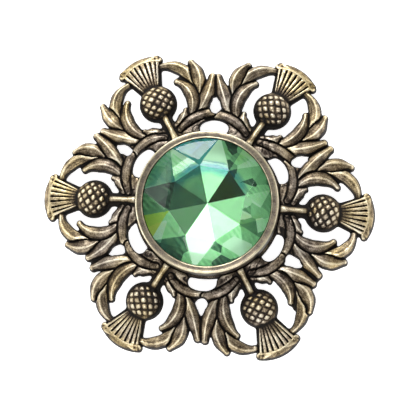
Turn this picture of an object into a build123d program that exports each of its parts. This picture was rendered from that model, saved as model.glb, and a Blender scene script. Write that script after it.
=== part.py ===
from build123d import *
from collections import namedtuple
import math
import os

os.makedirs("parts", exist_ok=True)

# A round brooch lying on its back, face up. The rest plane is z = 0 and the stone points up.
# Sizes are in millimetres.

# The casting
thistle_count = 6
tip_radius = 23.7  # from the middle to the outer end of a thistle
foot_width = 1.7  # flat foot on the rest plane, under the outer end of a thistle
dome_rise = 3.8  # height of the hollow back over the rest plane, in the middle
sheet = 1.1  # thickness of the cast sheet
border = 0.15  # sheet that shows beside what is raised on it

# Leaves and scrolls
leaf_width = 1.6
leaf_relief = 1.15
leaf_shoulder = 0.45  # share of the relief where the slopes of a leaf begin

# One thistle, from its cap inwards
cap_length = 1.4
cap_width = 6.7
cap_relief = 1.35
tuft_length = 3.8
tuft_width = 5.9
tuft_relief = 1.15
flute_count = 8
flute_depth = 0.26
neck_width = 2.2
neck_relief = 0.8
neck_flank = 0.6  # plain sheet beside the neck
bulb_radius = 2.15
bulb_sink = 0.7  # the bulb's centre below the top of the sheet
bulb_flank = 0.45  # plain sheet beside the bulb
scale_size = 0.6
scale_pitch = 0.95
scale_rise = 0.16
scale_root = 0.1  # how deep a scale is rooted in the bulb
scale_limit = 61.0  # degrees from the bulb's top to the last scales
stem_width = 1.0
stem_relief = 1.1
stem_flank = 0.75  # plain sheet beside the stem
plate_width = 6.5  # plain sheet between the seat and the scrolls

# Setting
bezel_radius = 10.15
bezel_height = 3.7
bezel_wall = 0.6
bezel_floor = 0.5
bezel_edge = 0.2  # rounding of the rim
lip_width = 1.15
lip_thickness = 0.45
seat_margin = 0.35  # seat that shows around the setting
seat_gap = 0.1  # between the setting's wall and the raised work around it

# Stone
stone_sides = 8
stone_turn = 15.0  # degrees
stone_gap = 0.1
crown_height = 0.85
girdle_height = 0.55
table_share = 0.67  # table radius over stone radius
ring_share = 0.55  # ring between the two rows of pavilion facets over stone radius
ring_depth = 0.6  # depth of that ring below the girdle as a share of the pavilion's

# Pin on the back
bar_length = 23.0
bar_width = 3.2
bar_thickness = 0.7
bar_gap = 0.15  # between the bar's ends and the hollow back
wire_diameter = 0.8
wire_drop = 0.25  # clear height between bar and wire
knuckle_wall = 0.2
hinge_length = 2.6
catch_length = 1.8

# Worked out from the sizes above
foot_radius = tip_radius - foot_width
dome_radius = (foot_radius**2 + dome_rise**2) / (2 * dome_rise)
cap_out = tip_radius - cap_length
neck_out = cap_out - tuft_length
bulb_out = neck_out - bulb_radius
seat_radius = bezel_radius + seat_margin
rim_radius = tip_radius + border

# Leaves on one side of a thistle. The root, middle and end of a leaf are points on an arc, each
# given across from the thistle's axis and out from the brooch's middle, as shares of tip radius.
# Width and relief are shares of leaf width and leaf relief, and the widths at root and end are
# shares of the leaf's own.
Leaf = namedtuple("Leaf", "name root middle end width at_root at_end relief")
LEAVES = [
    Leaf("arm", (0.238, 0.708), (0.223, 0.810), (0.101, 0.884), 0.80, 0.35, 0.60, 1.00),
    Leaf("outer blade", (0.262, 0.649), (0.296, 0.738), (0.294, 0.851), 0.95, 0.20, 0.35, 1.05),
    Leaf("side blade", (0.196, 0.524), (0.298, 0.610), (0.381, 0.696), 1.05, 0.40, 0.35, 1.00),
    Leaf("inner blade", (0.161, 0.521), (0.202, 0.643), (0.167, 0.774), 0.95, 0.35, 0.45, 0.75),
    Leaf("spur", (0.048, 0.512), (0.095, 0.548), (0.134, 0.592), 0.85, 0.60, 0.40, 0.65),
    Leaf("scroll", (0.036, 0.458), (0.143, 0.482), (0.252, 0.461), 0.80, 0.60, 0.85, 0.85),
]
# Plain sheet between the leaves
WEBS = [
    Leaf("leaf web", (0.100, 0.500), (0.225, 0.595), (0.245, 0.735), 0.90, 1.00, 1.00, 0.0),
    Leaf("root web", (0.030, 0.500), (0.130, 0.505), (0.240, 0.518), 1.00, 1.00, 0.80, 0.0),
    Leaf("side web", (0.315, 0.600), (0.347, 0.629), (0.375, 0.660), 0.80, 0.80, 0.80, 0.0),
    Leaf("scroll web", (0.180, 0.475), (0.225, 0.468), (0.270, 0.455), 0.80, 1.00, 1.00, 0.0),
]
plate_out = 0.48  # outer end of the sheet between seat and scrolls, as a share of tip radius

# Sections along a leaf: place on its arc, fullness from its end width to its full width, relief
LEAF_SECTIONS = [(0.0, 0.0, 0.6), (0.32, 1.0, 0.95), (0.68, 1.0, 1.0), (1.0, 0.0, 0.6)]
# Sections along a tuft: place from neck to cap, then width, relief and flutes on the same way
TUFT_SECTIONS = [(-0.05, 0.0, 0.0, 0.5), (0.5, 0.45, 0.9, 1.0), (1.0, 1.0, 1.0, 1.0)]
# Sections along a cap: place from tuft to tip, width, relief
CAP_SECTIONS = [(-0.1, 1.0, 1.0), (0.5, 0.86, 0.85), (0.95, 0.45, 0.4)]
cap_steps = 6
stem_steps = 4
arch = 0.5  # how far an arched section falls at its sides, as a share of its relief


def back_height(radius):
    """Height of the hollow back over the rest plane."""
    return math.sqrt(dome_radius**2 - radius**2) - dome_radius + dome_rise


def sheet_top(radius):
    """Height of the sheet's upper face."""
    return back_height(radius) + sheet


def root_depth(radius):
    """Depth from the sheet's upper face to its middle, where raised work is rooted."""
    return (sheet_top(radius) - max(back_height(radius), 0)) / 2


def between(low, high, share):
    """Value at a share of the way from low to high."""
    return low + (high - low) * share


def spine(leaf, side):
    """Arc along a leaf, on the given side of the thistle's axis."""
    points = [(out, side * across) for across, out in (leaf.root, leaf.middle, leaf.end)]
    return ThreePointArc(*[Vector(point) * tip_radius for point in points])


def leaf_stations(leaf):
    """Places along a leaf, with its width and relief there."""
    for place, fullness, relief in LEAF_SECTIONS:
        narrow = leaf.at_root if place < 0.5 else leaf.at_end
        width = between(narrow, 1, fullness) * leaf.width * leaf_width
        yield place, width, relief * leaf.relief * leaf_relief


def leaf_outline(leaf, side):
    """Flat outline of a leaf with its border of plain sheet."""
    arc = spine(leaf, side)
    left = []
    right = []
    for place, width, _ in leaf_stations(leaf):
        along = arc % place
        spot = arc @ place + along * border * round(2 * place - 1)
        across = along.rotate(Axis.Z, 90) * (width / 2 + border)
        left.append(spot + across)
        right.append(spot - across)
    with BuildSketch() as outline:
        with BuildLine():
            Polyline(*left, *reversed(right), close=True)
        make_face()
    return outline.sketch


def raised_leaf(leaf, side):
    """Leaf with two slopes that meet in a ridge, rooted in the sheet."""
    arc = spine(leaf, side)
    with BuildPart() as body:
        for place, width, relief in leaf_stations(leaf):
            along = arc % place
            radius = (arc @ place).length
            origin = arc @ place + Vector(0, 0, sheet_top(radius))
            half = width / 2
            depth = root_depth(radius)
            with BuildSketch(Plane(origin, x_dir=along.rotate(Axis.Z, 90), z_dir=along)):
                with BuildLine():
                    Polyline(
                        (-half, -depth),
                        (half, -depth),
                        (half, relief * leaf_shoulder),
                        (0, relief),
                        (-half, relief * leaf_shoulder),
                        close=True,
                    )
                make_face()
        loft(ruled=True)
    return body.part


def arched_loft(sections, steps):
    """Loft along a thistle's axis. A section is its place, width, relief and depth of flutes."""
    with BuildPart() as body:
        for out, width, relief, flute in sections:
            half = width / 2
            points = [(half, -root_depth(out)), (-half, -root_depth(out))]
            for step in range(steps + 1):
                share = 2 * step / steps - 1
                dip = flute if step % 2 else 0
                points.append((half * share, relief * (1 - arch * share**2) - dip))
            with BuildSketch(Plane((out, 0, sheet_top(out)), x_dir=(0, 1, 0), z_dir=(1, 0, 0))):
                with BuildLine():
                    Polyline(*points, close=True)
                make_face()
        loft(ruled=True)
    return body.part


# The tuft spreads from the neck to the cap, with a flute between each two ridges
tuft_stations = []
for place, width_share, relief_share, flute_share in TUFT_SECTIONS:
    out = between(neck_out, cap_out, place)
    width = between(neck_width, tuft_width, width_share)
    relief = between(neck_relief, tuft_relief, relief_share)
    tuft_stations.append((out, width, relief, flute_depth * flute_share))
tuft = arched_loft(tuft_stations, 2 * flute_count)

# The cap closes the tuft as a low smooth dome
cap_stations = []
for place, width_share, relief_share in CAP_SECTIONS:
    out = between(cap_out, tip_radius, place)
    cap_stations.append((out, cap_width * width_share, cap_relief * relief_share, 0))
cap = arched_loft(cap_stations, cap_steps)

# The stem is a ridged bar from the setting to the bulb
stem_ends = (bezel_radius, bulb_out - bulb_radius / 2)
stem = arched_loft([(out, stem_width, stem_relief, 0) for out in stem_ends], stem_steps)

# The bulb is a ball half sunk in the sheet, with raised scales in slanting rows
bulb_centre = Vector(bulb_out, 0, sheet_top(bulb_out) - bulb_sink)


def scale_plane(lean, turn):
    """Plane under one scale, at an angle from the bulb's top and a turn around it."""
    outward = Vector(0, 0, 1).rotate(Axis.Y, lean).rotate(Axis.Z, turn)
    beside = Vector(1, 0, 0).rotate(Axis.Y, lean).rotate(Axis.Z, turn)
    beside = beside.rotate(Axis((0, 0, 0), outward), 45 - turn)
    return Plane(bulb_centre + outward * (bulb_radius - scale_root), x_dir=beside, z_dir=outward)


scale_planes = []
scale_rows = math.ceil(2 * bulb_radius / scale_pitch)
for row in range(-scale_rows, scale_rows + 1):
    for column in range(-scale_rows, scale_rows + 1):
        lean = math.degrees(math.hypot(row, column) * scale_pitch / bulb_radius)
        turn = math.degrees(math.atan2(row, column)) + 45
        if lean < scale_limit:
            scale_planes.append(scale_plane(lean, turn))

with BuildPart() as bulb:
    with Locations(bulb_centre):
        Sphere(bulb_radius)
    with BuildSketch(*scale_planes):
        Rectangle(scale_size, scale_size)
    extrude(amount=scale_root + scale_rise)
    split(bisect_by=Plane.XY.offset(sheet_top(bulb_out) - root_depth(bulb_out)), keep=Keep.TOP)

# Flat outline of one thistle with its leaves
thistle_edge = [
    (bulb_out, neck_width / 2 + neck_flank),
    (neck_out + border, neck_width / 2 + neck_flank),
]
for out, width, _, _ in tuft_stations[1:]:
    thistle_edge.append((out - border, width / 2 + 2 * border))
for out, width, _, _ in cap_stations:
    thistle_edge.append((out, width / 2 + border))
thistle_edge.append((tip_radius, cap_stations[-1][1] / 2))
other_edge = [(out, -across) for out, across in reversed(thistle_edge)]
leaf_outlines = [leaf_outline(leaf, side) for leaf in LEAVES + WEBS for side in (1, -1)]
with BuildSketch() as thistle_outline:
    with BuildLine():
        Polyline(*thistle_edge, *other_edge, close=True)
    make_face()
    with Locations((bulb_out, 0)):
        Circle(bulb_radius + bulb_flank)
    Rectangle(bulb_out, stem_width + 2 * stem_flank, align=(Align.MIN, Align.CENTER))
    Rectangle(plate_out * tip_radius, plate_width, align=(Align.MIN, Align.CENTER))
    Circle(seat_radius)
    add(leaf_outlines)

# One thistle's share of the circle
wedge_out = 2 * rim_radius
wedge_across = wedge_out * math.tan(math.pi / thistle_count)
with BuildSketch() as wedge:
    with BuildLine():
        Polyline((0, 0), (wedge_out, -wedge_across), (wedge_out, wedge_across), close=True)
    make_face()

# The pierced, domed sheet of one thistle, with its share of the flat seat
seat_height = sheet_top(seat_radius)
seat_back = back_height(math.hypot(bar_length, bar_width) / 2) - bar_gap
with BuildPart() as dome:
    with BuildSketch(Plane.XZ):
        with BuildLine():
            outer_middle = (rim_radius / 2, sheet_top(rim_radius / 2))
            inner_middle = (foot_radius / 2, back_height(foot_radius / 2))
            Polyline((foot_radius, 0), (rim_radius, 0), (rim_radius, sheet_top(rim_radius)))
            ThreePointArc((rim_radius, sheet_top(rim_radius)), outer_middle, (0, sheet_top(0)))
            Line((0, sheet_top(0)), (0, back_height(0)))
            ThreePointArc((0, back_height(0)), inner_middle, (foot_radius, 0))
        make_face()
    revolve(axis=Axis.Z)
    with BuildSketch():
        add(thistle_outline.sketch)
        add(wedge.sketch, mode=Mode.INTERSECT)
    extrude(amount=sheet_top(0), mode=Mode.INTERSECT)
    with BuildSketch(Plane.XY.offset(seat_back)):
        Circle(seat_radius)
        add(wedge.sketch, mode=Mode.INTERSECT)
    extrude(amount=seat_height - seat_back)

# One thistle of the casting, clear of the setting that stands on the seat
raised_leaves = [raised_leaf(leaf, side) for leaf in LEAVES for side in (1, -1)]
with BuildPart() as thistle:
    add(dome.part)
    add([*raised_leaves, tuft, cap, stem, bulb.part])
    with BuildSketch(Plane.XY.offset(seat_height)):
        Circle(bezel_radius + seat_gap)
    extrude(amount=bezel_height, mode=Mode.SUBTRACT)

# The whole casting
with BuildPart() as thistle_frame:
    with PolarLocations(0, thistle_count):
        add(thistle.part)
thistle_frame.part.label = "thistle_frame"
export_step(thistle_frame.part, "parts/thistle_frame.step")

# Setting: a cup that stands on the seat, with its lip turned over the stone
cup_top = seat_height + bezel_height
cup_floor = seat_height + bezel_floor
cup_radius = bezel_radius - bezel_wall
lip_under = cup_top - lip_thickness
window_radius = bezel_radius - lip_width
with BuildPart() as bezel_cup:
    with BuildSketch(Plane.XZ):
        with BuildLine():
            Polyline(
                (0, seat_height),
                (bezel_radius, seat_height),
                (bezel_radius, cup_top),
                (window_radius, cup_top),
                (window_radius, lip_under),
                (cup_radius, lip_under),
                (cup_radius, cup_floor),
                (0, cup_floor),
                close=True,
            )
        make_face()
    revolve(axis=Axis.Z)
    fillet(bezel_cup.edges().group_by(Axis.Z)[-1], min(bezel_edge, lip_thickness / 2))
bezel_cup.part.label = "bezel_cup"
export_step(bezel_cup.part, "parts/bezel_cup.step")

# Stone: it fills the cup from just over the floor, and the lip lies just over its crown
stone_radius = cup_radius - stone_gap
corner = math.pi / stone_sides
table_radius = stone_radius * table_share
table_reach = table_radius * math.cos(corner)
crown_slope = crown_height / (stone_radius - table_reach)
girdle_top = lip_under - stone_gap - crown_slope * (stone_radius - window_radius)
girdle_base = girdle_top - girdle_height
table_height = girdle_top + crown_height
point_height = cup_floor + stone_gap
ring_radius = stone_radius * ring_share
ring_reach = ring_radius * math.cos(corner)
ring_height = between(girdle_base, point_height, ring_depth)
chord_reach = stone_radius * math.cos(corner)


def facet(angle, inner, outer):
    """Plane of a facet that runs out at an angle, from an inner to an outer radius and height."""
    along = Vector(outer[0] - inner[0], 0, outer[1] - inner[1])
    upward = Vector(-along.Z, 0, along.X).rotate(Axis.Z, angle)
    return Plane(Vector(inner[0], 0, inner[1]).rotate(Axis.Z, angle), z_dir=upward)


with BuildPart() as stone:
    with BuildSketch(Plane.XY.offset(point_height)):
        Circle(stone_radius)
    extrude(amount=table_height - point_height)
    for side in range(stone_sides):
        at_corner = stone_turn + side * 360 / stone_sides
        at_edge = at_corner + 180 / stone_sides
        crown_facets = [
            facet(at_edge, (table_reach, table_height), (stone_radius, girdle_top)),
            facet(at_corner, (table_radius, table_height), (chord_reach, girdle_top)),
        ]
        pavilion_facets = [
            facet(at_edge, (0, point_height), (ring_reach, ring_height)),
            facet(at_edge, (ring_reach, ring_height), (stone_radius, girdle_base)),
            facet(at_corner, (ring_radius, ring_height), (chord_reach, girdle_base)),
        ]
        for plane in crown_facets:
            split(bisect_by=plane, keep=Keep.BOTTOM)
        for plane in pavilion_facets:
            split(bisect_by=plane, keep=Keep.TOP)
stone.part.label = "stone"
export_step(stone.part, "parts/stone.step")

# Pin, closed: bar, hinge, wire and catch in one plain piece on the back of the seat
bar_under = seat_back - bar_thickness
wire_height = bar_under - wire_drop - wire_diameter / 2
knuckle_radius = wire_diameter / 2 + knuckle_wall
hinge_start = -bar_length / 2
catch_start = bar_length / 2 - catch_length
wire_start = hinge_start + hinge_length / 2
with BuildPart() as brooch_pin:
    with BuildSketch(Plane.XY.offset(bar_under)):
        SlotOverall(bar_length, bar_width)
    extrude(amount=bar_thickness)
    for start, length in ((hinge_start, hinge_length), (catch_start, catch_length)):
        with BuildSketch(Plane.YZ.offset(start)):
            with Locations((0, wire_height)):
                Circle(knuckle_radius)
                Rectangle(
                    2 * knuckle_radius,
                    bar_under - wire_height,
                    align=(Align.CENTER, Align.MIN),
                )
        extrude(amount=length)
    with BuildSketch(Plane.YZ.offset(wire_start)):
        with Locations((0, wire_height)):
            Circle(wire_diameter / 2)
    extrude(amount=bar_length / 2 - wire_start)
brooch_pin.part.label = "brooch_pin"
export_step(brooch_pin.part, "parts/brooch_pin.step")
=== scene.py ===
import math
from collections import namedtuple

import bmesh
import bpy
import numpy as np
from mathutils import Matrix, Vector


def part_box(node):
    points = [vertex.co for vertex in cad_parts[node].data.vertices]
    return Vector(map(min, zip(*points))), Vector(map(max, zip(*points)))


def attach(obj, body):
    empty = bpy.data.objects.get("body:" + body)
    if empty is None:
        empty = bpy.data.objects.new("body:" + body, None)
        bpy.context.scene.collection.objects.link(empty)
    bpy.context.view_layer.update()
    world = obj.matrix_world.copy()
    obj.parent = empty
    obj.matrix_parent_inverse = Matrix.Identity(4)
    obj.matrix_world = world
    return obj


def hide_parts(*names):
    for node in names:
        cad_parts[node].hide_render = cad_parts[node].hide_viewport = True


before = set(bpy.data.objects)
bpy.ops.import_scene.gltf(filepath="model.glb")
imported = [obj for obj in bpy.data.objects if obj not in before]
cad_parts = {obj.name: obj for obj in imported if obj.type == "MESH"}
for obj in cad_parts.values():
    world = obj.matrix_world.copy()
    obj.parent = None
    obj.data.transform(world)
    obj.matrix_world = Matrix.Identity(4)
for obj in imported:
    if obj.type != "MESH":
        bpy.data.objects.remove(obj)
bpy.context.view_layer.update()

# Sizes are in millimetres up to the meshes, which are in metres like the frame
MM = 0.001


def node_box(name):
    """Lowest and highest corner of a CAD node, in millimetres."""
    return [[value / MM for value in corner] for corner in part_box(name)]


casting_high = node_box("thistle_frame")[1]
cup_low, cup_high = node_box("bezel_cup")
stone_low, stone_high = node_box("stone")
pin_high = node_box("brooch_pin")[1]

# The casting's dome and seat, as in the CAD source
thistle_count = 6
tip_radius = casting_high[0]
foot_width = 1.7  # flat foot on the rest plane, under the outer end of a thistle
dome_rise = 3.8  # height of the hollow back over the rest plane, in the middle
sheet = 1.1  # thickness of the cast sheet
seat_margin = 0.35  # seat that shows around the setting
foot_radius = tip_radius - foot_width
dome_radius = (foot_radius**2 + dome_rise**2) / (2 * dome_rise)
bezel_radius = cup_high[0]
seat_radius = bezel_radius + seat_margin
seat_height = cup_low[2]
seat_back = pin_high[2]

# Leaves on one side of a thistle. Root, middle and end are on an arc, across from the thistle's
# axis and out from the brooch's middle, as shares of tip radius. Width is in millimetres, at_root
# and at_end are shares of it, lean is the ridge's place across from -1 to 1 with 1 away from the
# thistle's axis, and crest is 1 for a sharp ridge and 0 for a round bar.
FIELDS = "root middle end width at_root at_end relief lean crest"
Leaf = namedtuple("Leaf", FIELDS, defaults=(0, 0, 0))
LEAVES = [
    Leaf((0.241, 0.690), (0.229, 0.806), (0.112, 0.888), 1.85, 0.45, 0.55, 1.15, -0.30, 1.0),  # arm
    Leaf((0.258, 0.650), (0.294, 0.740), (0.284, 0.836), 2.0, 0.45, 0.5, 1.3, -0.25, 1.0),  # outer
    Leaf((0.185, 0.522), (0.294, 0.608), (0.370, 0.692), 1.95, 0.6, 0.6, 1.25, -0.10, 1.0),  # side
    Leaf((0.146, 0.530), (0.208, 0.643), (0.172, 0.762), 1.95, 0.62, 0.5, 1.05, 0.05, 1.0),  # inner
    Leaf((0.054, 0.508), (0.100, 0.532), (0.132, 0.572), 1.65, 0.80, 0.45, 0.85, 0.10, 0.9),  # spur
    Leaf((0.050, 0.478), (0.156, 0.504), (0.263, 0.475), 1.42, 0.75, 0.95, 0.8, 0.1, 0.5),  # scroll
]
# Plain sheet between the leaves
WEBS = [
    Leaf((0.100, 0.500), (0.225, 0.595), (0.245, 0.735), 1.45, 1.0, 1.0),  # leaf web
    Leaf((0.030, 0.500), (0.130, 0.515), (0.240, 0.522), 1.50, 1.0, 0.8, 0.42),  # root web
    Leaf((0.262, 0.700), (0.266, 0.750), (0.264, 0.790), 0.95, 1.0, 0.8),  # notch web
    Leaf((0.205, 0.700), (0.212, 0.735), (0.208, 0.768), 1.20, 1.0, 0.8),  # blade web
    Leaf((0.315, 0.600), (0.347, 0.629), (0.375, 0.660), 1.30, 0.8, 0.8),  # side web
    Leaf((0.180, 0.475), (0.225, 0.468), (0.270, 0.455), 1.30, 1.0, 1.0),  # scroll web
    Leaf((0.040, 0.440), (0.100, 0.452), (0.158, 0.468), 1.90, 1.0, 1.0, 0.50),  # plate
]
# Holes on the line half way between two thistles, across from it and out
HOLES = [
    Leaf((-0.050, 0.467), (0.0, 0.480), (0.050, 0.467), 1.80, 1.0, 1.0),  # scroll hole
    Leaf((0.0, 0.584), (0.0, 0.607), (0.0, 0.650), 1.30, 0.95, 0.25),  # blade hole
]

# One thistle on its axis. Places are out from the brooch's middle, and widths are half widths.
thistle_span = (9.0, 24.0)  # from inside the seat to past the cap
thistle_margin = 4.5
cap_out = 22.65
cap_relief = 1.6
CAP_SPINE = [(22.30, -2.88), (23.08, 0.0), (22.30, 2.88)]  # out and across
cap_half_end = 0.58
cap_half_middle = 0.62
neck_out = 18.5
tuft_neck = 1.22
tuft_spread = 2.00  # added from the neck to the cap
tuft_relief = 1.2
tuft_flank = 0.42  # plain sheet beside the tuft at its neck
flute_count = 8
flute_depth = 0.70
bulb_out = 16.3
bulb_radius = 2.62
bulb_sink = 0.32  # the bulb's centre below the top of the sheet
bulb_flat = 0.74  # height over half width
bulb_flank = 0.08  # plain sheet beside the bulb
scale_pitch_out = (0.80, -0.50)  # one lattice step across and out, along the bulb's surface
scale_pitch_in = (0.65, 0.76)
scale_half = 0.42  # of a scale, as a share of the lattice step
scale_rise = 0.28
scale_limit = 2.8  # from the bulb's top to the middle of the last scales, along its surface
scale_drift_reach = 0.07
stem_start = 9.5
stem_end = 15.1
stem_half = 0.52
stem_flare = 0.10  # added where the stem meets the setting
stem_relief = 1.1
stem_web_half = 0.95  # of the plain sheet under the stem

# Edges, grooves and unevenness
grid_step = 0.095
grid_reach = (24.2, 22.0)  # half the grid's size, more than half the casting's
border = 0.03  # plain sheet that shows beside a leaf
edge_round = 0.20  # width of the rounded edge along the outline
edge_drop = 0.40  # how far the front comes down at the outline
leaf_round = 0.20  # width of the rounded side of a leaf
corner_round = 0.35  # rounding of the corners between pieces of the outline
hole_round = 0.25
vein_depth = 0.025
leaf_groove = 0.14  # width of the groove round a leaf that lies over another
leaf_play = 0.22  # how unevenly the leaves end
part_play = 0.05  # how unevenly leaves, flutes and holes are placed
grain_height = 0.035
lump_height = 0.10
crack_depth = 0.08
thinnest = 0.35  # least thickness of the casting
lowest_top = 0.45
lip_clearance = 0.05  # from the highest place on the casting to the setting's top
box_margin = 0.01  # the outline stays this far inside the CAD's box
triangle_limit = 192000

# Radii between which something fades in, with none of it at the first
relief_fade = (bezel_radius + 0.05, bezel_radius + 0.2)
rough_fade = (bezel_radius + 0.2, bezel_radius + 0.6)
lump_fade = (13.2, 11.2)
crack_fade = (13.4, 12.2)
middle_fade = (14.5, 12.0)
warm_fade = (11.0, 20.0)
edge_fade = (seat_radius - 0.4, seat_radius)
seat_back_fade = (seat_radius + 0.12, seat_radius)

# Patina. Wear is 0 for patina and 1 for bare brass, and a stain takes away from it. Warmth is 0
# for grey and 1 for yellow brass, and gilt adds to it.
stem_stain = 0.24
stem_gilt = 0.45
neck_stain = 0.10  # where the tuft rises from the bulb
cap_gilt = 0.25
crack_stain = 0.22
edge_stain = 0.26
# Darker towards the middle of the brooch, by this much
middle_darkening = 0.065
wear_front = 0.315
wear_back = 0.34
wear_broad = 0.38 / 0.6  # for a millimetre over the wide surroundings
wear_fine = 0.44 / 0.14  # for a millimetre over the near surroundings
warmth_least = 0.10
warmth_outside = 0.42
warmth_patches = 0.34


def back_height(radius):
    """Height of the hollow back over the rest plane."""
    return np.sqrt(dome_radius**2 - radius**2) - dome_radius + dome_rise


def smooth_step(low, high, value):
    """0 below low, 1 above high, and a smooth way between."""
    share = np.clip((value - low) / (high - low), 0, 1)
    return share * share * (3 - 2 * share)


def smooth_max(first, second, reach):
    """The larger of two fields, rounded where they are nearly equal."""
    near = np.maximum(reach - np.abs(first - second), 0) / reach
    return np.maximum(first, second) + near * near * reach / 4


def round_side(depth, width):
    """0 at the side of a form, 1 from a width inside it, and a quarter round between."""
    return np.sin(np.clip(depth / width, 0, 1) * math.pi / 2)


def grid_line(reach):
    """Evenly spaced places from one reach to the other, with one at zero."""
    count = math.ceil(reach / grid_step)
    return np.arange(-count, count + 1) * grid_step


# Grid over the casting
grid_x = grid_line(grid_reach[0])
grid_y = grid_line(grid_reach[1])
GX, GY = np.meshgrid(grid_x, grid_y, indexing="ij")
radius = np.hypot(GX, GY)
inside = np.full(GX.shape, -5.0)  # distance inside the outline
relief = np.zeros(GX.shape)  # height over the plain sheet
stain = np.zeros(GX.shape)  # patina beyond what the height gives
gilt = np.zeros(GX.shape)
random = np.random.default_rng(7)


def blurred(field, spread):
    """The field blurred by a Gaussian of the given spread in millimetres."""
    fx = np.fft.fftfreq(field.shape[0], grid_step)[:, None]
    fy = np.fft.rfftfreq(field.shape[1], grid_step)[None, :]
    weight = np.exp(-2 * (math.pi * spread) ** 2 * (fx * fx + fy * fy))
    return np.fft.irfft2(np.fft.rfft2(field) * weight, field.shape)


def noise(spread):
    """Seeded noise with features of the given size, about -1 to 1."""
    grain = blurred(random.normal(0, 1, GX.shape), spread)
    return grain / (2 * grain.std())


scale_drift = noise(0.5), noise(0.5)  # across and out


def window(points, margin):
    """Part of the grid around some points."""
    cells = []
    for axis, line in enumerate((grid_x, grid_y)):
        low = np.searchsorted(line, points[:, axis].min() - margin)
        high = np.searchsorted(line, points[:, axis].max() + margin)
        cells.append(slice(low, high))
    return tuple(cells)


def arc_points(root, middle, end, steps):
    """Points along the arc through three points, or along the line where they lie on one."""
    ax, ay = middle - root
    bx, by = end - root
    turn = ax * by - ay * bx
    if abs(turn) < 1e-6:
        return root + (end - root) * np.linspace(0, 1, steps + 1)[:, None]
    a2 = ax * ax + ay * ay
    b2 = bx * bx + by * by
    centre = root + np.array([by * a2 - ay * b2, ax * b2 - bx * a2]) / (2 * turn)
    angles = [math.atan2(*(point - centre)[::-1]) for point in (root, middle, end)]
    sweep = (angles[2] - angles[0]) % (2 * math.pi)
    if (angles[1] - angles[0]) % (2 * math.pi) > sweep:
        sweep -= 2 * math.pi
    angle = angles[0] + sweep * np.linspace(0, 1, steps + 1)
    reach = np.hypot(*(root - centre))
    return centre + reach * np.stack([np.cos(angle), np.sin(angle)], 1)


def along_spine(spine, x, y):
    """Nearest place on a spine for each point of the grid: its share, the distance across with
    left of the spine above zero, and the distance past its ends."""
    best = np.full(x.shape, np.inf)
    place = np.zeros(x.shape)
    across = np.zeros(x.shape)
    past = np.zeros(x.shape)
    count = len(spine) - 1
    for step in range(count):
        start = spine[step]
        run = spine[step + 1] - start
        length = np.hypot(*run)
        dx = x - start[0]
        dy = y - start[1]
        along = (dx * run[0] + dy * run[1]) / length
        side = (run[0] * dy - run[1] * dx) / length
        over = np.maximum(along - length, 0) + np.minimum(along, 0)
        distance = side * side + over * over
        near = distance < best
        best = np.where(near, distance, best)
        share = (step + np.clip(along / length, 0, 1)) / count
        place = np.where(near, share, place)
        across = np.where(near, side, across)
        past = np.where(near, np.abs(over), past)
    return place, across, past


def leaf_fullness(leaf, place):
    """Width along a leaf as a share of its full width."""
    fullness = smooth_step(0, 0.4, place) * (1 - leaf.at_root) + leaf.at_root
    return fullness * (1 - (1 - leaf.at_end) * smooth_step(0.6, 1, place))


def leaf_spine(leaf, side, angle, shift):
    """Points along a leaf's arc, on one side of an axis at an angle."""
    out_way = np.array([math.cos(angle), math.sin(angle)])
    across_way = np.array([-math.sin(angle), math.cos(angle)]) * side
    ends = []
    for across, out in (leaf.root, leaf.middle, leaf.end):
        ends.append((out_way * out + across_way * across) * tip_radius + shift)
    ends[2] = ends[2] + random.normal(0, leaf_play, 2)
    return arc_points(*ends, 18)


def widen(part, depth, rounding=corner_round):
    """Adds a form to the outline, by how deep each point lies inside the form."""
    inside[part] = smooth_max(inside[part], depth, rounding)


def build_up(part, height, rounding=0.04):
    """Adds a form to the relief."""
    relief[part] = smooth_max(relief[part], np.maximum(height, 0), rounding)


def fill(field, part, chosen, value):
    """Sets a field at the chosen points of a part of the grid."""
    field[part] = np.where(chosen, value, field[part])


def cut_hole(hole, angle):
    """Opens the outline along a hole's arc."""
    spine = leaf_spine(hole, 1, angle, random.normal(0, part_play, 2))
    part = window(spine, hole.width + 1)
    place, across, past = along_spine(spine, GX[part], GY[part])
    depth = hole.width / 2 * leaf_fullness(hole, place) - np.hypot(across, past)
    inside[part] = -smooth_max(-inside[part], depth, hole_round)


def add_leaf(leaf, side, angle, shift):
    """Adds one leaf to the outline and the relief. The thistle's axis is at an angle."""
    spine = leaf_spine(leaf, side, angle, shift)
    part = window(spine, leaf.width + 1)
    place, across, past = along_spine(spine, GX[part], GY[part])
    half = leaf.width / 2 * leaf_fullness(leaf, place)
    depth = half - np.hypot(across, past)
    widen(part, depth + border)
    if leaf.relief == 0:
        return
    from_ridge = np.clip(-across * side / half, -3, 3) - leaf.lean
    spread = np.abs(from_ridge) / (1 - leaf.lean * np.sign(from_ridge))
    spread = np.clip(np.hypot(spread, (past / half) ** 1.6), 0, 1)
    slope = (0.30 + 0.26 * leaf.crest) * spread ** (2.2 - 1.05 * leaf.crest)
    root_dip = 0.50 * np.clip(1 - place / 0.45, 0, 1) ** 2
    end_dip = 0.30 * np.clip((place - 0.55) / 0.45, 0, 1) ** 2
    vein = vein_depth * leaf.crest * np.cos(4 * math.pi * spread)
    vein = vein * smooth_step(0.95, 0.7, spread)
    height = leaf.relief * (1 - root_dip - end_dip) * (1 - slope) + vein
    height = height * round_side(depth, leaf_round)
    if leaf in WEBS:
        relief[part] = np.maximum(relief[part], height)
        return
    # A leaf lies over those before it, with a groove around it
    around = smooth_step(-leaf_groove, 0, depth)
    relief[part] = np.where(depth > 0, height, relief[part] * (1 - around))


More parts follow.
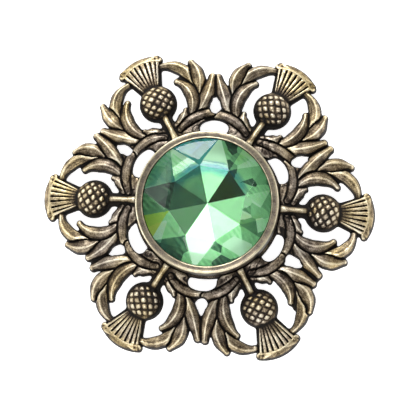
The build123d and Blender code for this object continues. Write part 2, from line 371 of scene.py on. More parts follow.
class Axis:
    """Part of the grid around one thistle, measured out along its axis and across it."""

    def __init__(self, angle):
        self.angle = angle
        self.way = np.array([math.cos(angle), math.sin(angle)])
        ends = np.array([self.way * reach for reach in thistle_span])
        self.part = window(ends, thistle_margin)
        self.x = GX[self.part]
        self.y = GY[self.part]
        self.out = self.x * self.way[0] + self.y * self.way[1]
        self.across = self.y * self.way[0] - self.x * self.way[1]
        self.aside = np.abs(self.across)
        self.from_bulb = np.hypot(self.across, self.out - bulb_out)


def add_stem(on):
    """Stem, a little wider where it meets the setting, on a strip of plain sheet."""
    half = stem_half + stem_flare * smooth_step(12.0, 10.2, on.out)
    within = np.minimum(on.out - stem_start, stem_end - on.out)
    depth = np.minimum(half - on.aside, within)
    stem = stem_relief * (1 - 0.48 * np.clip(on.aside / half, 0, 1) ** 1.3)
    stem = stem * round_side(depth, 0.25) * smooth_step(14.9, 13.4, on.out) ** 0.7
    build_up(on.part, stem, 0.05)
    fill(stain, on.part, depth > 0, stem_stain)
    fill(gilt, on.part, depth > -0.1, stem_gilt)
    widen(on.part, np.minimum(stem_web_half - on.aside, within))


def bulb_scales(on, reach):
    """Height of the bulb's scales, from 0 between them to about 1, on a slanting lattice."""
    bend = np.arcsin(reach) / np.maximum(reach, 1e-3)
    side = on.across * bend + scale_drift_reach * scale_drift[0][on.part]
    forward = (on.out - bulb_out) * bend + scale_drift_reach * scale_drift[1][on.part]
    (ax, ay), (bx, by) = scale_pitch_out, scale_pitch_in
    turn = ax * by - ay * bx
    row = (side * by - forward * bx) / turn
    column = (forward * ax - side * ay) / turn
    row_at = np.round(row)
    column_at = np.round(column)
    from_top = np.hypot(row_at * ax + column_at * bx, row_at * ay + column_at * by)
    kept = smooth_step(scale_limit + 0.2, scale_limit - 0.2, from_top)
    painted_reflection_cell = (np.abs(row - row_at) ** 3 + np.abs(column - column_at) ** 3) ** (1 / 3) / scale_half
    uneven = 0.85 + 0.35 * np.sin(2.3 * row_at + 4.1 * column_at + 5 * on.angle)
    return np.clip(1 - painted_reflection_cell**2.2, 0, 1) ** 0.8 * uneven, kept


def add_bulb(on):
    """Flattened ball with rounded scales."""
    part = on.part
    widen(part, bulb_radius + bulb_flank - on.from_bulb)
    reach = np.clip(on.from_bulb / bulb_radius, 0, 0.999)
    pillow, kept = bulb_scales(on, reach)
    top = back_height(bulb_out) + sheet - bulb_sink
    flat = back_height(np.minimum(radius[part], dome_radius))
    height = bulb_flat * np.sqrt(np.clip(bulb_radius**2 - on.from_bulb**2, 0, None))
    ball = top + height - flat - sheet
    ball = ball + scale_rise * pillow * kept * (1 - reach**12)
    build_up(part, np.where(on.from_bulb < bulb_radius, ball, -1))
    rim_stain = 0.26 * smooth_step(0.92, 1.0, reach)
    scale_shine = 0.12 * smooth_step(0.55, 0.85, reach) * pillow
    bulb_stain = rim_stain + 0.10 * (1 - pillow) - scale_shine
    fill(stain, part, on.from_bulb < bulb_radius * 1.1, np.maximum(stain[part], bulb_stain))


def add_tuft(on):
    """Fan of ridges from the neck to the cap."""
    part = on.part
    share = (on.out - neck_out) / (cap_out - neck_out)
    half = tuft_neck + tuft_spread * np.clip(share, -0.2, 1.05)
    spread = on.aside / half
    within = np.minimum(on.out - neck_out + 1.1, cap_out + 0.5 - on.out)
    depth = np.minimum((half - on.aside) * 0.9, within)
    shift = random.normal(0, part_play, flute_count + 1)
    along = (on.across / half + 1) / 2 * flute_count
    along = along + np.interp(along, np.arange(flute_count + 1), shift)
    ridge = np.abs(np.sin(along * math.pi))
    groove = 1 - np.clip((ridge - 0.08) / 0.52, 0, 1) ** 0.8
    groove = groove * smooth_step(-0.10, 0.65, share) * smooth_step(1.02, 0.95, share)
    side_stain = 0.15 * smooth_step(0.90, 1.0, spread)
    root_stain = 0.08 * smooth_step(0.3, -0.1, share)
    tuft_stain = 0.05 + 0.75 * groove + side_stain + root_stain
    on_tuft = (depth > 0) & (on.from_bulb > bulb_radius - 0.3)
    fill(stain, part, on_tuft & (on.from_bulb < bulb_radius * 1.1), neck_stain)
    fill(stain, part, on_tuft, np.maximum(stain[part], tuft_stain))
    fan = (0.80 + 0.40 * np.clip(share, 0, 1)) * tuft_relief
    fan = fan * (1 - 0.28 * np.clip(spread, 0, 1) ** 2)
    build_up(part, (fan - flute_depth * groove) * round_side(depth, 0.24))
    arch = cap_out + 0.1 - 0.10 * on.across**2
    within = np.minimum(on.out - neck_out + 0.8, arch - on.out)
    widen(part, np.minimum(half + tuft_flank - 0.3 * share - on.aside, within))


def add_cap(on):
    """Arched bar that is highest along its inner rim and falls away to the tip."""
    part = on.part
    ways = np.array([on.way, (-on.way[1], on.way[0])])
    spine = arc_points(*(np.array(CAP_SPINE) @ ways), 16)
    place, beside, past = along_spine(spine, on.x, on.y)
    half = cap_half_end + (cap_half_middle - cap_half_end) * np.sin(place * math.pi)
    depth = half - np.hypot(beside, past)
    widen(part, depth, 0.15)
    fall = np.clip(0.5 - beside / half / 2, 0, 1)
    cap = cap_relief * (1 - 0.30 * (2 * place - 1) ** 2) * (1 - 0.38 * fall**1.5)
    build_up(part, cap * round_side(depth, 0.28))
    rim_shine = 0.10 * smooth_step(0.50, 0.2, fall)
    cap_stain = 0.16 * smooth_step(0.55, 0.95, fall) - 0.10 - rim_shine
    fill(stain, part, depth > 0, cap_stain)
    fill(gilt, part, depth > 0, cap_gilt)


for thistle in range(thistle_count):
    angle = math.tau * thistle / thistle_count
    for leaf in WEBS + LEAVES:
        for side in (1, -1):
            add_leaf(leaf, side, angle, random.normal(0, part_play, 2))
    axis = Axis(angle)
    add_stem(axis)
    add_bulb(axis)
    add_tuft(axis)
    add_cap(axis)

for gap in range(thistle_count):
    angle = math.tau * (gap + 0.5) / thistle_count
    for hole in HOLES:
        cut_hole(hole, angle)

# Plain seat around the setting
inside = smooth_max(inside, seat_radius - radius, corner_round)
relief = relief * smooth_step(*relief_fade, radius)

# Nothing reaches past the CAD's box
for line, limit in ((GX, casting_high[0]), (GY, casting_high[1])):
    inside = np.minimum(inside, limit - box_margin - np.abs(line))

# Front and back of the casting. Its low places are rough, with lumps and cracks near the setting.
cast_grain = noise(0.18)
cast_wave = noise(0.6)
flat_back = back_height(np.minimum(radius, dome_radius))
off_seat = smooth_step(*rough_fade, radius)
low = smooth_step(0.5, 0.0, relief) * off_seat
lumps = noise(0.28) * smooth_step(*lump_fade, radius) * off_seat
cracks = smooth_step(0.16, 0.03, np.abs(noise(0.42))) * smooth_step(*crack_fade, radius)
cracks = cracks * smooth_step(0.75, 0.55, relief) * off_seat
stain = stain + crack_stain * cracks
top = flat_back + sheet + relief
top = top + grain_height * cast_wave * (0.4 + low) + grain_height * cast_grain * low
top = top + lump_height * lumps - crack_depth * cracks
top = np.where(radius < seat_radius, np.minimum(top, seat_height + relief), top)
edge = round_side(inside, edge_round)
top = top - edge_drop * (1 - edge) * smooth_step(*edge_fade, radius)
top = np.clip(top, lowest_top, cup_high[2] - lip_clearance)
back = np.maximum(flat_back, 0)
back = back + (seat_back - back) * smooth_step(*seat_back_fade, radius)
back = np.minimum(back, top - thinnest)

# How far a place lies over what is around it, for the patina
solid = (inside > 0).astype(float)


def over_surroundings(spread):
    """Height over the blurred casting, which ends at its outline."""
    share = np.maximum(blurred(solid, spread), 1e-3)
    return top - blurred(top * solid, spread) / share


fine_height = over_surroundings(0.22)
broad_height = over_surroundings(0.9)
at_edge = 1 - smooth_step(0.0, 0.24, inside)


def outline_points(field, upper, under):
    """Points at the grid's corners where a field is above zero and on its edges where the field
    is zero, with two heights, and the point's number at each corner and on each edge, or -1."""
    filled = field > 0
    points = []
    numbers = []

    def add(mask, columns):
        ids = np.full(mask.shape, -1)
        ids[mask] = sum(len(rows) for rows in points) + np.arange(mask.sum())
        numbers.append(ids)
        points.append(np.stack(columns, 1))

    add(filled, [values[filled] for values in (GX, GY, upper, under)])
    for first, second in (
        (np.s_[:-1, :], np.s_[1:, :]),
        (np.s_[:, :-1], np.s_[:, 1:]),
    ):
        mask = filled[first] != filled[second]
        gap = field[first][mask] - field[second][mask]
        share = np.clip(field[first][mask] / gap, 0.12, 0.88)
        columns = []
        for values in (GX, GY, upper, under):
            columns.append(values[first][mask] * (1 - share) + values[second][mask] * share)
        add(mask, columns)
    return np.concatenate(points), numbers


def outline_mesh(field, upper, under):
    """Closed mesh between two height fields, inside the line where a third is zero."""
    points, (corner, along_x, along_y) = outline_points(field, upper, under)
    labels = {
        "c0": corner[:-1, :-1],
        "c1": corner[1:, :-1],
        "c2": corner[1:, 1:],
        "c3": corner[:-1, 1:],
        "e0": along_x[:, :-1],
        "e1": along_y[1:, :],
        "e2": along_x[:, 1:],
        "e3": along_y[:-1, :],
    }
    code = sum((labels[f"c{k}"] >= 0).astype(int) << k for k in range(4))
    height = points[:, 2]
    triangles = []
    walls = []
    for case in range(1, 16):
        chosen = code == case
        walk = []
        for k in range(4):
            if case >> k & 1:
                walk.append(f"c{k}")
            if (case >> k & 1) != (case >> (k + 1) % 4 & 1):
                walk.append(f"e{k}")
        ids = [labels[name][chosen] for name in walk]
        if case == 15:
            a, b, c, d = ids
            flip = np.abs(height[a] - height[c]) > np.abs(height[b] - height[d])
            triangles.append(np.stack([a, b, np.where(flip, d, c)], 1))
            triangles.append(np.stack([np.where(flip, b, a), c, d], 1))
            continue
        for k in range(1, len(ids) - 1):
            triangles.append(np.stack([ids[0], ids[k], ids[k + 1]], 1))
        for k, name in enumerate(walk):
            after = (k + 1) % len(walk)
            if name[0] == "e" and walk[after][0] == "e":
                walls.append(np.stack([ids[k], ids[after]], 1))
    top_faces = np.concatenate(triangles)
    wall = np.concatenate(walls)
    count = len(points)
    faces = [
        top_faces,
        top_faces[:, ::-1] + count,
        np.stack([wall[:, 1], wall[:, 0], wall[:, 0] + count], 1),
        np.stack([wall[:, 1], wall[:, 0] + count, wall[:, 1] + count], 1),
    ]
    return np.concatenate([points[:, :3], points[:, [0, 1, 3]]]), np.concatenate(faces)


def add_object(name, data):
    """New object in the scene."""
    obj = bpy.data.objects.new(name, data)
    bpy.context.scene.collection.objects.link(obj)
    return obj


def shape_object(name, shape):
    """New object with the mesh of a finished bmesh."""
    mesh = bpy.data.meshes.new(name)
    shape.to_mesh(mesh)
    shape.free()
    return add_object(name, mesh)


def new_mesh(name, points, faces):
    """Mesh object from points in millimetres and faces that are all triangles or all quads."""
    mesh = bpy.data.meshes.new(name)
    mesh.from_pydata(points * MM, [], faces)
    mesh.validate()
    return add_object(name, mesh)


def points_of(obj):
    """The mesh's vertices in millimetres."""
    values = np.empty(len(obj.data.vertices) * 3, np.float32)
    obj.data.vertices.foreach_get("co", values)
    return values.reshape(-1, 3) / MM


def set_attribute(obj, name, values, domain="POINT"):
    """A number for each vertex or face, which a material reads."""
    attribute = obj.data.attributes.new(name, "FLOAT", domain)
    attribute.data.foreach_set("value", np.array(values, np.float32))


def sampled(field, points):
    """Values of a field of the grid at some points."""
    gx = np.clip((points[:, 0] - grid_x[0]) / grid_step, 0, len(grid_x) - 1.001)
    gy = np.clip((points[:, 1] - grid_y[0]) / grid_step, 0, len(grid_y) - 1.001)
    ix = gx.astype(int)
    iy = gy.astype(int)
    fx = gx - ix
    fy = gy - iy
    low_side = field[ix, iy] * (1 - fy) + field[ix, iy + 1] * fy
    high_side = field[ix + 1, iy] * (1 - fy) + field[ix + 1, iy + 1] * fy
    return low_side * (1 - fx) + high_side * fx


def thin_to(obj, limit):
    """Merges the object's flattest triangles until no more than the limit are left."""
    count = len(obj.data.polygons)
    if count <= limit:
        return
    thin = obj.modifiers.new("thin", "DECIMATE")
    thin.ratio = limit / count
    thin.use_collapse_triangulate = True
    depsgraph = bpy.context.evaluated_depsgraph_get()
    mesh = bpy.data.meshes.new_from_object(obj.evaluated_get(depsgraph))
    obj.modifiers.clear()
    obj.data = mesh


casting = new_mesh("thistle_casting", *outline_mesh(inside, top, back))
thin_to(casting, triangle_limit)
casting.data.shade_smooth()

spots = points_of(casting)
from_middle = np.hypot(spots[:, 0], spots[:, 1])
on_top = spots[:, 2] > (sampled(top, spots) + sampled(back, spots)) / 2
wear = wear_front + wear_broad * sampled(broad_height, spots)
wear = wear + wear_fine * sampled(fine_height, spots) - edge_stain * sampled(at_edge, spots)
# Darker towards the middle
wear = wear - sampled(stain, spots) - middle_darkening * smooth_step(*middle_fade, from_middle)
wear = np.where(on_top, wear, wear_back + 0.05 * sampled(cast_wave, spots))
set_attribute(casting, "wear", np.clip(wear, 0, 1))
warmth = warmth_least + warmth_outside * smooth_step(*warm_fade, from_middle)
warmth = warmth + warmth_patches * sampled(noise(0.9), spots) + sampled(gilt, spots)
set_attribute(casting, "warmth", np.clip(warmth, 0, 1))


def lathe(name, profile, segments, dip):
    """Closed ring turned from a closed profile of radii and heights. Its top dips around it."""
    angle = np.arange(segments) * math.tau / segments
    profile = np.array(profile)
    rows = len(profile)
    highest = profile[:, 1].max()
    at_top = smooth_step(highest - 1.2, highest, profile[:, 1])
    points = np.empty((segments, rows, 3))
    points[:, :, 0] = profile[:, 0] * np.cos(angle)[:, None]
    points[:, :, 1] = profile[:, 0] * np.sin(angle)[:, None]
    points[:, :, 2] = profile[:, 1] - dip(angle)[:, None] * at_top
    ids = np.arange(segments * rows).reshape(segments, rows)
    after = np.roll(ids, -1, 0)
    beside = np.roll(ids, -1, 1)
    across = np.roll(after, -1, 1)
    faces = np.stack([ids, after, across, beside], 2).reshape(-1, 4)
    return new_mesh(name, points.reshape(-1, 3), faces)


def rounded(corners):
    """Closed profile with its corners rounded. A corner is a radius, a height and a rounding."""
    steps = 4
    found = []
    count = len(corners)
    for index, (r, z, size) in enumerate(corners):
        spot = np.array([r, z])
        if size == 0:
            found.append(spot)
            continue
        before = np.array(corners[index - 1][:2]) - spot
        after = np.array(corners[(index + 1) % count][:2]) - spot
        start = spot + before / np.hypot(*before) * size
        end = spot + after / np.hypot(*after) * size
        for share in np.linspace(0, 1, steps + 1):
            bend = spot * 2 * share * (1 - share)
            found.append(start * (1 - share) ** 2 + bend + end * share**2)
    return found


# Setting: a cup with its lip turned over the stone. The lip is stepped inside its rounded top.
cup_top = cup_high[2]
cup_wall = 0.6
cup_floor = 0.5
cup_middle = 0.02  # the ring is all but closed in the middle
lip_width = 1.15
lip_thickness = 0.45
lip_inner = bezel_radius - lip_width
lip_under = cup_top - lip_thickness
CUP_CORNERS = [
    (cup_middle, seat_height, 0),
    (bezel_radius, seat_height, 0.05),
    (bezel_radius, cup_top - 0.75, 0.05),
    (bezel_radius - 0.06, cup_top - 0.10, 0.16),
    (bezel_radius - 0.28, cup_top - 0.01, 0.10),
    (bezel_radius - 0.42, cup_top - 0.10, 0.06),
    (lip_inner + 0.30, cup_top - 0.16, 0.06),
    (lip_inner + 0.20, cup_top - 0.10, 0.04),
    (lip_inner + 0.11, cup_top - 0.18, 0.05),
    (lip_inner, lip_under, 0.03),
    (bezel_radius - cup_wall, lip_under, 0.02),
    (bezel_radius - cup_wall, seat_height + cup_floor, 0.05),
    (cup_middle, seat_height + cup_floor, 0),
]


def burnish(angle):
    """How far the hand-closed lip dips below its top, around the setting."""
    return 0.035 * (0.5 + 0.5 * np.sin(3 * angle + 0.8) * np.sin(7 * angle + 2.1))


cup_segments = 192
setting = lathe("bezel_setting", rounded(CUP_CORNERS), cup_segments, burnish)
setting.data.shade_smooth()
setting.data.set_sharp_from_angle(angle=math.radians(50))

# The lip is worn along its outer edge and its inner step, and the wall is darker towards its foot
spots = points_of(setting)
from_middle = np.hypot(spots[:, 0], spots[:, 1])
edge_shine = np.exp(-(((from_middle - (bezel_radius - 0.17)) / 0.16) ** 2))
edge_shine += 0.8 * np.exp(-(((from_middle - (lip_inner + 0.18)) / 0.07) ** 2))
foot_darkening = 0.2 * smooth_step(2.2, 0.0, spots[:, 2] - seat_height)
wear = np.where(spots[:, 2] > cup_top - 0.4, 0.46 + 0.54 * edge_shine, 0.38 - foot_darkening)
wear = np.where(from_middle < lip_inner + 0.10, 0.05, wear)
set_attribute(setting, "wear", np.clip(wear, 0, 1))

# Stone, cut as in the CAD source but with a smaller table, a wider ring round the point and two
# facets in place of the one under each corner
stone_sides = 8
stone_turn = 15.0  # degrees
crown_height = 0.85
girdle_height = 0.55
table_share = 0.64  # table radius over stone radius
ring_share = 0.58  # ring between the two rows of pavilion facets over stone radius
ring_depth = 0.6  # depth of that ring below the girdle as a share of the pavilion's
stone_radius = stone_high[0]
table_height = stone_high[2]
point_height = stone_low[2]
girdle_top = table_height - crown_height
girdle_base = girdle_top - girdle_height
table_radius = stone_radius * table_share
ring_radius = stone_radius * ring_share
ring_height = girdle_base + (point_height - girdle_base) * ring_depth
half_side = math.pi / stone_sides
corner_turn = half_side / 3  # from a corner of the pavilion to each of the two facets there
corner_inner = (ring_radius * math.cos(corner_turn), ring_height)
corner_outer = (stone_radius * math.cos(half_side - corner_turn), girdle_base)


def cut_facet(shape, angle, inner, outer):
    """Cuts a facet that runs out at an angle in radians between two places, each a radius and a
    height. What is above it goes from the crown, and what is below it from the pavilion."""
    turn = Matrix.Rotation(angle, 3, "Z")
    normal = turn @ Vector((inner[1] - outer[1], 0, outer[0] - inner[0]))
    cut = bmesh.ops.bisect_plane(
        shape,
        geom=shape.verts[:] + shape.edges[:] + shape.faces[:],
        dist=1e-5,
        plane_co=turn @ Vector((inner[0], 0, inner[1])),
        plane_no=normal if inner[1] > outer[1] else -normal,
        clear_outer=True,
    )
    rim = [part for part in cut["geom_cut"] if isinstance(part, bmesh.types.BMEdge)]
    if rim:
        bmesh.ops.contextual_create(shape, geom=rim)


def cut_stone(name):
    """Round cylinder cut by the planes of the crown and the pavilion."""
    shape = bmesh.new()
    bmesh.ops.create_cone(
        shape,
        cap_ends=True,
        segments=96,
        radius1=stone_radius,
        radius2=stone_radius,
        depth=table_height - point_height,
        matrix=Matrix.Translation((0, 0, (table_height + point_height) / 2)),
    )
    reach = math.cos(half_side)
    for side in range(stone_sides):
        corner = math.radians(stone_turn) + 2 * half_side * side
        middle = corner + half_side
        for facet in (
            (middle, (table_radius * reach, table_height), (stone_radius, girdle_top)),
            (corner, (table_radius, table_height), (stone_radius * reach, girdle_top)),
            (middle, (0, point_height), (ring_radius * reach, ring_height)),
            (middle, (ring_radius * reach, ring_height), (stone_radius, girdle_base)),
            (corner - corner_turn, corner_inner, corner_outer),
            (corner + corner_turn, corner_inner, corner_outer),
        ):
            cut_facet(shape, *facet)
    bmesh.ops.remove_doubles(shape, verts=shape.verts[:], dist=1e-4)
    bmesh.ops.recalc_face_normals(shape, faces=shape.faces[:])
    bmesh.ops.scale(shape, vec=(MM, MM, MM), verts=shape.verts[:])
    return shape_object(name, shape)


stone = cut_stone("green_stone")

foil_gap = 0.02  # below the stone
foil_thickness = 0.05


def foil_under(body, name):
    """Thin closed shell just under the pavilion of the stone."""
    shape = bmesh.new()
    shape.from_mesh(body.data)
    upper = [face for face in shape.faces if face.normal.z > -0.5]
    bmesh.ops.delete(shape, geom=upper, context="FACES")
    bmesh.ops.reverse_faces(shape, faces=shape.faces[:])
    bmesh.ops.translate(shape, vec=(0, 0, -foil_gap * MM), verts=shape.verts[:])
    made = bmesh.ops.extrude_face_region(shape, geom=shape.faces[:], use_keep_orig=True)
    sunk = [part for part in made["geom"] if isinstance(part, bmesh.types.BMVert)]
    bmesh.ops.translate(shape, vec=(0, 0, -foil_thickness * MM), verts=sunk)
    bmesh.ops.recalc_face_normals(shape, faces=shape.faces[:])
    return shape_object(name, shape)


foil = foil_under(stone, "stone_foil")

# The foil under each facet, with the light that the facet reflects painted on it, one row for each
# side
# of the stone, anticlockwise: round the point, then outside that under the table's side, and under
# the facets before and after the side's first corner. Each has a tone, the painted brightness of
# that light, from 0 dark to 1 clear, and a hue, its painted tint, from -1 yellow to 1 blue.
Facets = namedtuple("Facets", "point side before after")
FACET_PAINTED_LIGHTS = [
    Facets((0.17, -0.9), (0.49, 0.1), (0.60, -0.2), (0.43, 0.0)),
    Facets((0.60, 0.1), (1.25, 0.0), (0.76, -0.3), (0.46, -0.1)),
    Facets((0.56, 0.3), (1.05, -0.1), (0.80, 1.0), (0.72, 1.0)),
    Facets((0.38, 0.3), (0.38, 0.0), (0.82, 0.5), (0.85, 0.5)),
    Facets((0.82, -0.1), (1.02, -0.1), (0.70, 0.1), (1.15, -1.2)),
    Facets((1.00, 0.0), (1.30, 0.0), (0.57, 0.4), (0.56, 0.2)),
    Facets((0.75, 0.0), (1.05, 0.0), (0.58, 0.0), (0.54, 0.0)),
    Facets((0.74, -0.1), (0.72, -0.2), (0.88, -0.2), (0.62, -0.1)),
]
side_turn = 360 / stone_sides
side_reach = 9  # a side's facet has its middle within these degrees of the side's middle
foil_split = 0.75 * ring_radius  # facets round the point have their middles inside this


def painted_light_under(spot):
    """Painted brightness and painted tint of the reflected light on the foil at a place, from the
    facet over it.
    """
    turn = (math.degrees(math.atan2(spot[1], spot[0])) - stone_turn) % 360
    row = int(turn // side_turn)
    from_side = turn % side_turn - side_turn / 2
    if spot.xy.length < foil_split:
        return FACET_PAINTED_LIGHTS[row].point
    if abs(from_side) < side_reach:
        return FACET_PAINTED_LIGHTS[row].side
    if from_side > 0:
        return FACET_PAINTED_LIGHTS[(row + 1) % stone_sides].before
    return FACET_PAINTED_LIGHTS[row].after


foil_spots = [face.center / MM for face in foil.data.polygons]
# Painted brightness and tint of the light that each facet reflects, on the foil's faces
set_attribute(foil, "painted_brightness", [painted_light_under(spot)[0] for spot in foil_spots], "FACE")
set_attribute(foil, "painted_tint", [painted_light_under(spot)[1] for spot in foil_spots], "FACE")
set_attribute(foil, "outer", [spot.xy.length > foil_split for spot in foil_spots], "FACE")


def linear(code):
    """Linear colour of a web colour code."""
    parts = [int(code[i : i + 2], 16) / 255 for i in (0, 2, 4)]
    return [p / 12.92 if p < 0.04045 else ((p + 0.055) / 1.055) ** 2.4 for p in parts] + [1.0]


def new_material(name):
    """Material with its Principled shader."""
    material = bpy.data.materials.new(name)
    material.use_nodes = True
    return material, material.node_tree, material.node_tree.nodes["Principled BSDF"]


def feed(tree, node, **values):
    """Sets a node's named inputs, or links other nodes' outputs to them."""
    for name, value in values.items():
        socket = node.inputs[name if name.isupper() else name.replace("_", " ").title()]
        if isinstance(value, bpy.types.NodeSocket):
            tree.links.new(value, socket)
        else:
            socket.default_value = value


def add_node(tree, kind, **values):
    """New node with its named properties and inputs set. An input that shares its name with a
    property, such as height, is left to feed."""
    node = tree.nodes.new(kind)
    inputs = {}
    for name, value in values.items():
        if hasattr(node, name):
            setattr(node, name, value)
        else:
            inputs[name] = value
    feed(tree, node, **inputs)
    return node


def object_place(tree):
    """Place on the object, in metres."""
    return add_node(tree, "ShaderNodeTexCoord").outputs["Object"]


def noise_node(tree, size, detail=3.0, rough=0.55):
    """Noise over the object with features of the given size in millimetres."""
    node = add_node(tree, "ShaderNodeTexNoise", vector=object_place(tree), scale=1 / (size * MM))
    feed(tree, node, detail=detail, roughness=rough)
    return node.outputs["Fac"]


def attribute_node(tree, name):
    """Number that the mesh holds for the place."""
    return add_node(tree, "ShaderNodeAttribute", attribute_name=name).outputs["Fac"]


def math_node(tree, operation, first, second, clamp=False):
    """Sum, product or other operation on two sockets or numbers."""
    node = add_node(tree, "ShaderNodeMath", operation=operation, use_clamp=clamp)
    for index, value in enumerate((first, second)):
        if isinstance(value, (int, float)):
            node.inputs[index].default_value = value
        else:
            tree.links.new(value, node.inputs[index])
    return node.outputs[0]


def swing(tree, value, reach):
    """A value from 0 to 1 moved to lie about zero, over the given reach."""
    return math_node(tree, "MULTIPLY", math_node(tree, "SUBTRACT", value, 0.5), reach)


def ramp_node(tree, value, stops):
    """Colour ramp with stops of a place and a colour."""
    node = add_node(tree, "ShaderNodeValToRGB", fac=value)
    ramp = node.color_ramp
    while len(ramp.elements) < len(stops):
        ramp.elements.new(0.5)
    for element, (place, colour) in zip(ramp.elements, stops):
        element.position = place
        element.color = colour
    return node.outputs["Color"]


def blend_node(tree, factor, first, second, kind="MIX"):
    """First colour blended with the second."""
    node = add_node(tree, "ShaderNodeMix", data_type="RGBA", blend_type=kind)
    feed(tree, node, factor=factor, A=first, B=second)
    return node.outputs["Result"]


def grey(value):
    """Colour without hue."""
    return (value, value, value, 1)


def coloured(tree, level, colours):
    """Ramp with a web colour code at each place."""
    return ramp_node(tree, level, [(place, linear(code)) for place, code in colours.items()])


def brass(name, wear, colours, greys, speckle, shine, bump):
    """Brass with dark patina in its hollows and bare metal on its worn ridges. Wear is a number
    or an attribute's name, greys are blended in where warmth is low, and shine is the roughness
    of the patina and of the bare metal."""
    material, tree, shader = new_material(name)
    level = attribute_node(tree, wear) if isinstance(wear, str) else wear
    fine = swing(tree, noise_node(tree, 0.16, 4.0, 0.65), speckle * 2)
    wide = swing(tree, noise_node(tree, 1.1), speckle * 1.6)
    level = math_node(tree, "ADD", math_node(tree, "ADD", level, fine), wide, clamp=True)
    colour = coloured(tree, level, colours)
    if greys:
        dull = coloured(tree, level, greys)
        colour = blend_node(tree, attribute_node(tree, "warmth"), dull, colour)
    grain = add_node(tree, "ShaderNodeBump", strength=bump, distance=0.03 * MM)
    feed(tree, grain, height=noise_node(tree, 0.12, 4.0, 0.6))
    feed(
        tree,
        shader,
        base_color=colour,
        roughness=ramp_node(tree, level, [(0.1, grey(shine[0])), (0.85, grey(shine[1]))]),
        metallic=ramp_node(tree, level, [(0.05, grey(0.55)), (0.35, grey(1.0))]),
        normal=grain.outputs["Normal"],
    )
    return material


# Colours from patina to bare brass, each at its level of wear
CASTING_COLOURS = {
    0.00: "120E0A", 0.22: "31271B", 0.42: "675942",
    0.60: "9B8860", 0.78: "CFB985", 1.00: "F2E4BC",
}
CASTING_GREYS = {
    0.00: "110E0B", 0.22: "2C2520", 0.42: "5C5249",
    0.60: "8C8074", 0.78: "BCB09F", 1.00: "E9E1CF",
}
SETTING_COLOURS = {
    0.00: "0E0C0B", 0.22: "37312B", 0.42: "7C7368",
    0.62: "A1957F", 0.80: "CCBE9C", 1.00: "EFE6CA",
}
PIN_COLOURS = {0.00: "2B241B", 0.45: "8A7550", 0.75: "BBA06A", 1.00: "D8C391"}

# Foil colours for the painted brightness of reflected light, from dark to clear
PAINTED_BRIGHTNESS_COLOURS = [
    (0.00, (0.010, 0.030, 0.018, 1)),
    (0.25, (0.080, 0.180, 0.120, 1)),
    (0.50, (0.250, 0.560, 0.290, 1)),
    (0.80, (0.500, 0.950, 0.520, 1)),
    (1.00, (0.780, 1.000, 0.800, 1)),
]
# Painted tints of reflected light, from yellow to blue
PAINTED_TINT_COLOURS = [
    (0.0, (1.00, 0.88, 0.24, 1)),
    (0.4, (1.00, 1.00, 1.00, 1)),
    (0.6, (1.00, 1.00, 1.00, 1)),
    (1.0, (0.22, 0.52, 0.95, 1)),
]
# Painted fringe of light split by the cut glass, by share of the stone's radius
PAINTED_FRINGE_STOPS = [(0.40, grey(0)), (0.50, grey(0.85)), (0.58, grey(0.95)), (0.66, grey(0))]


def green_glass():
    """Clear glass with a faint uneven green."""
    material, tree, shader = new_material("green_glass")
    stops = [(0.3, (0.84, 0.98, 0.88, 1)), (0.7, (0.88, 1.0, 0.92, 1))]
    tint = ramp_node(tree, noise_node(tree, 3.0), stops)
    feed(tree, shader, base_color=tint, transmission_weight=1.0, IOR=1.55, roughness=0.0)
    return material


def painted_foil_brightness(tree, place, outer):
    """Painted brightness of the reflected light on the foil. Fine painted stripes of refracted
    light, and painted cells like facets seen in other facets, break up the outer ones."""
    stripe_scale = 0.3 / (0.45 * MM)  # for stripes about 0.45 mm apart
    wave = add_node(tree, "ShaderNodeTexWave", bands_direction="DIAGONAL", scale=stripe_scale)
    feed(tree, wave, vector=place, distortion=3.0)
    patch = ramp_node(tree, noise_node(tree, 2.6), [(0.45, grey(0.0)), (0.65, grey(0.25))])
    painted_stripe = math_node(tree, "MULTIPLY", swing(tree, wave.outputs["Fac"], outer), patch)
    cells = add_node(tree, "ShaderNodeTexVoronoi", vector=place, scale=1 / (2.6 * MM))
    shades = add_node(tree, "ShaderNodeSeparateXYZ", vector=cells.outputs["Color"])
    painted_reflection_cell = math_node(tree, "MULTIPLY", swing(tree, shades.outputs["X"], outer), 0.62)
    cloud = swing(tree, noise_node(tree, 1.2), 0.18)
    painted_brightness = math_node(tree, "ADD", attribute_node(tree, "painted_brightness"), cloud)
    return math_node(tree, "ADD", math_node(tree, "ADD", painted_brightness, painted_stripe), painted_reflection_cell)


def painted_foil_tint(tree, place):
    """Painted tint of the reflected light on the foil. The cut glass splits the light, painted as a
    blue fringe along the outer end of the upper facets round the point."""
    parts = add_node(tree, "ShaderNodeSeparateXYZ", vector=place).outputs
    flat = add_node(tree, "ShaderNodeCombineXYZ", x=parts["X"], y=parts["Y"]).outputs[0]
    reach = add_node(tree, "ShaderNodeVectorMath", operation="LENGTH", vector=flat)
    share = math_node(tree, "MULTIPLY", reach.outputs["Value"], 1 / (stone_radius * MM))
    above = ramp_node(tree, parts["Y"], [(0.001, grey(0)), (0.004, grey(1))])
    painted_fringe = math_node(tree, "MULTIPLY", ramp_node(tree, share, PAINTED_FRINGE_STOPS), above)
    drift = swing(tree, noise_node(tree, 2.2), 1.2)
    painted_tint = math_node(tree, "ADD", attribute_node(tree, "painted_tint"), drift)
    painted_tint = math_node(tree, "MULTIPLY", math_node(tree, "ADD", painted_tint, painted_fringe), 0.5)
    return math_node(tree, "ADD", painted_tint, 0.5, clamp=True)


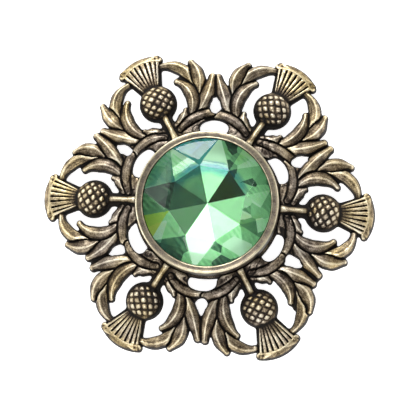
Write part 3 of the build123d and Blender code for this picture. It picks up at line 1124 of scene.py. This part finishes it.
def foil_with_painted_light():
    """Green metal foil, with a painted brightness and a painted tint of reflected light for each
    facet over it.
    """
    material, tree, shader = new_material("foil_with_painted_light")
    place = object_place(tree)
    outer = attribute_node(tree, "outer")
    painted_brightness = ramp_node(tree, painted_foil_brightness(tree, place, outer), PAINTED_BRIGHTNESS_COLOURS)
    painted_tint = ramp_node(tree, painted_foil_tint(tree, place), PAINTED_TINT_COLOURS)
    rough = ramp_node(tree, outer, [(0.0, grey(0.26)), (1.0, grey(0.55))])
    feed(tree, shader, base_color=blend_node(tree, 1.0, painted_brightness, painted_tint, "MULTIPLY"))
    feed(tree, shader, roughness=rough, metallic=1.0)
    return material


pin_brass = brass("plain_pin_brass", 0.55, PIN_COLOURS, None, 0.2, (0.5, 0.3), 0.15)
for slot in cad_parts["brooch_pin"].material_slots:
    slot.material = pin_brass

aged = brass("aged_cast_brass", "wear", CASTING_COLOURS, CASTING_GREYS, 0.54, (0.7, 0.42), 0.45)
rubbed = brass("rubbed_setting_brass", "wear", SETTING_COLOURS, None, 0.38, (0.55, 0.3), 0.25)
for piece, material, node, slot in (
    (casting, aged, "thistle_frame", "antique_brass"),
    (setting, rubbed, "bezel_cup", "setting_brass"),
    (stone, green_glass(), "stone", "green_glass"),
    (foil, foil_with_painted_light(), None, "green_glass"),
):
    piece.data.materials.append(material)
    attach(piece, "root")
    if node:
        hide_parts(node)


def direction(azimuth, elevation):
    """Unit vector for an azimuth and an elevation in degrees."""
    turn = math.radians(azimuth)
    rise = math.radians(elevation)
    flat = math.cos(rise)
    return Vector((math.cos(turn) * flat, math.sin(turn) * flat, math.sin(rise)))


# Camera, almost straight above, at the photograph's tilt and roll
photo_width = 416
pixels_per_mm = 7.061
camera_azimuth = -63.0
camera_elevation = 83.0
camera_roll = math.radians(3.9)
camera_distance = 420.0
aim_height = 4.0
aim_down = 0.45  # to the picture's middle
sensor_width = 36

toward = direction(camera_azimuth, camera_elevation)
right = Vector((-math.sin(camera_roll), math.cos(camera_roll), 0)).cross(toward).normalized()
upward = toward.cross(right)
aim = Vector((0, 0, aim_height)) - upward * aim_down
camera_data = bpy.data.cameras.new("camera")
camera = add_object("camera", camera_data)
turned = Matrix((right, upward, toward)).transposed().to_quaternion()
camera.matrix_world = Matrix.LocRotScale((aim + toward * camera_distance) * MM, turned, None)
camera_data.sensor_width = sensor_width
camera_data.lens = sensor_width * camera_distance / (photo_width / pixels_per_mm)
camera_data.clip_start = 0.01
camera_data.clip_end = 10
bpy.context.scene.camera = camera

# Pale floor
floor_radius = 3.0
floor_drop = 0.00002  # below the rest plane, so that floor and brooch share no face
floor_shape = bmesh.new()
bmesh.ops.create_circle(floor_shape, cap_ends=True, segments=96, radius=floor_radius)
floor = shape_object("floor", floor_shape)
floor.location.z = -floor_drop
paper, tree, shader = new_material("floor_paper")
feed(tree, shader, base_color=grey(0.86), roughness=0.9)
feed(tree, shader, emission_color=grey(1), emission_strength=0.92)
floor.data.materials.append(paper)

# Soft studio light. A light has an azimuth and an elevation in degrees, a size in metres and a
# power in watts.
Light = namedtuple("Light", "name azimuth elevation wide tall power")
LIGHTS = [
    Light("top_box", 104, 45, 0.56, 0.36, 5.2),
    Light("back_box", 96, 26, 0.80, 0.24, 3.2),
    Light("left_fill", 155, 57, 0.28, 0.28, 0.28),
    Light("left_box", 192, 23, 0.60, 0.24, 2.0),
    Light("low_fill", -104, 70, 0.26, 0.20, 0.50),
    Light("front_box", -84, 49, 0.84, 0.18, 4.0),
    Light("right_box", 12, 24, 0.50, 0.20, 0.5),
]
light_distance = 0.9
for light in LIGHTS:
    data = bpy.data.lights.new(light.name, "AREA")
    data.shape = "RECTANGLE"
    data.size = light.wide
    data.size_y = light.tall
    data.energy = light.power
    lamp = add_object(light.name, data)
    way = direction(light.azimuth, light.elevation)
    lamp.location = way * light_distance
    lamp.rotation_mode = "QUATERNION"
    lamp.rotation_quaternion = way.to_track_quat("Z", "Y")

# World, white at the horizon and dimmer above it
world_light = 0.22
world = bpy.data.worlds.new("studio")
bpy.context.scene.world = world
world.use_nodes = True
tree = world.node_tree
way = add_node(tree, "ShaderNodeTexCoord").outputs["Generated"]
height = add_node(tree, "ShaderNodeSeparateXYZ", vector=way).outputs["Z"]
sky = ramp_node(tree, height, [(0.06, grey(1.0)), (0.14, grey(world_light))])
feed(tree, tree.nodes["Background"], color=sky, strength=1.0)
bpy.context.scene.view_settings.view_transform = "Standard"
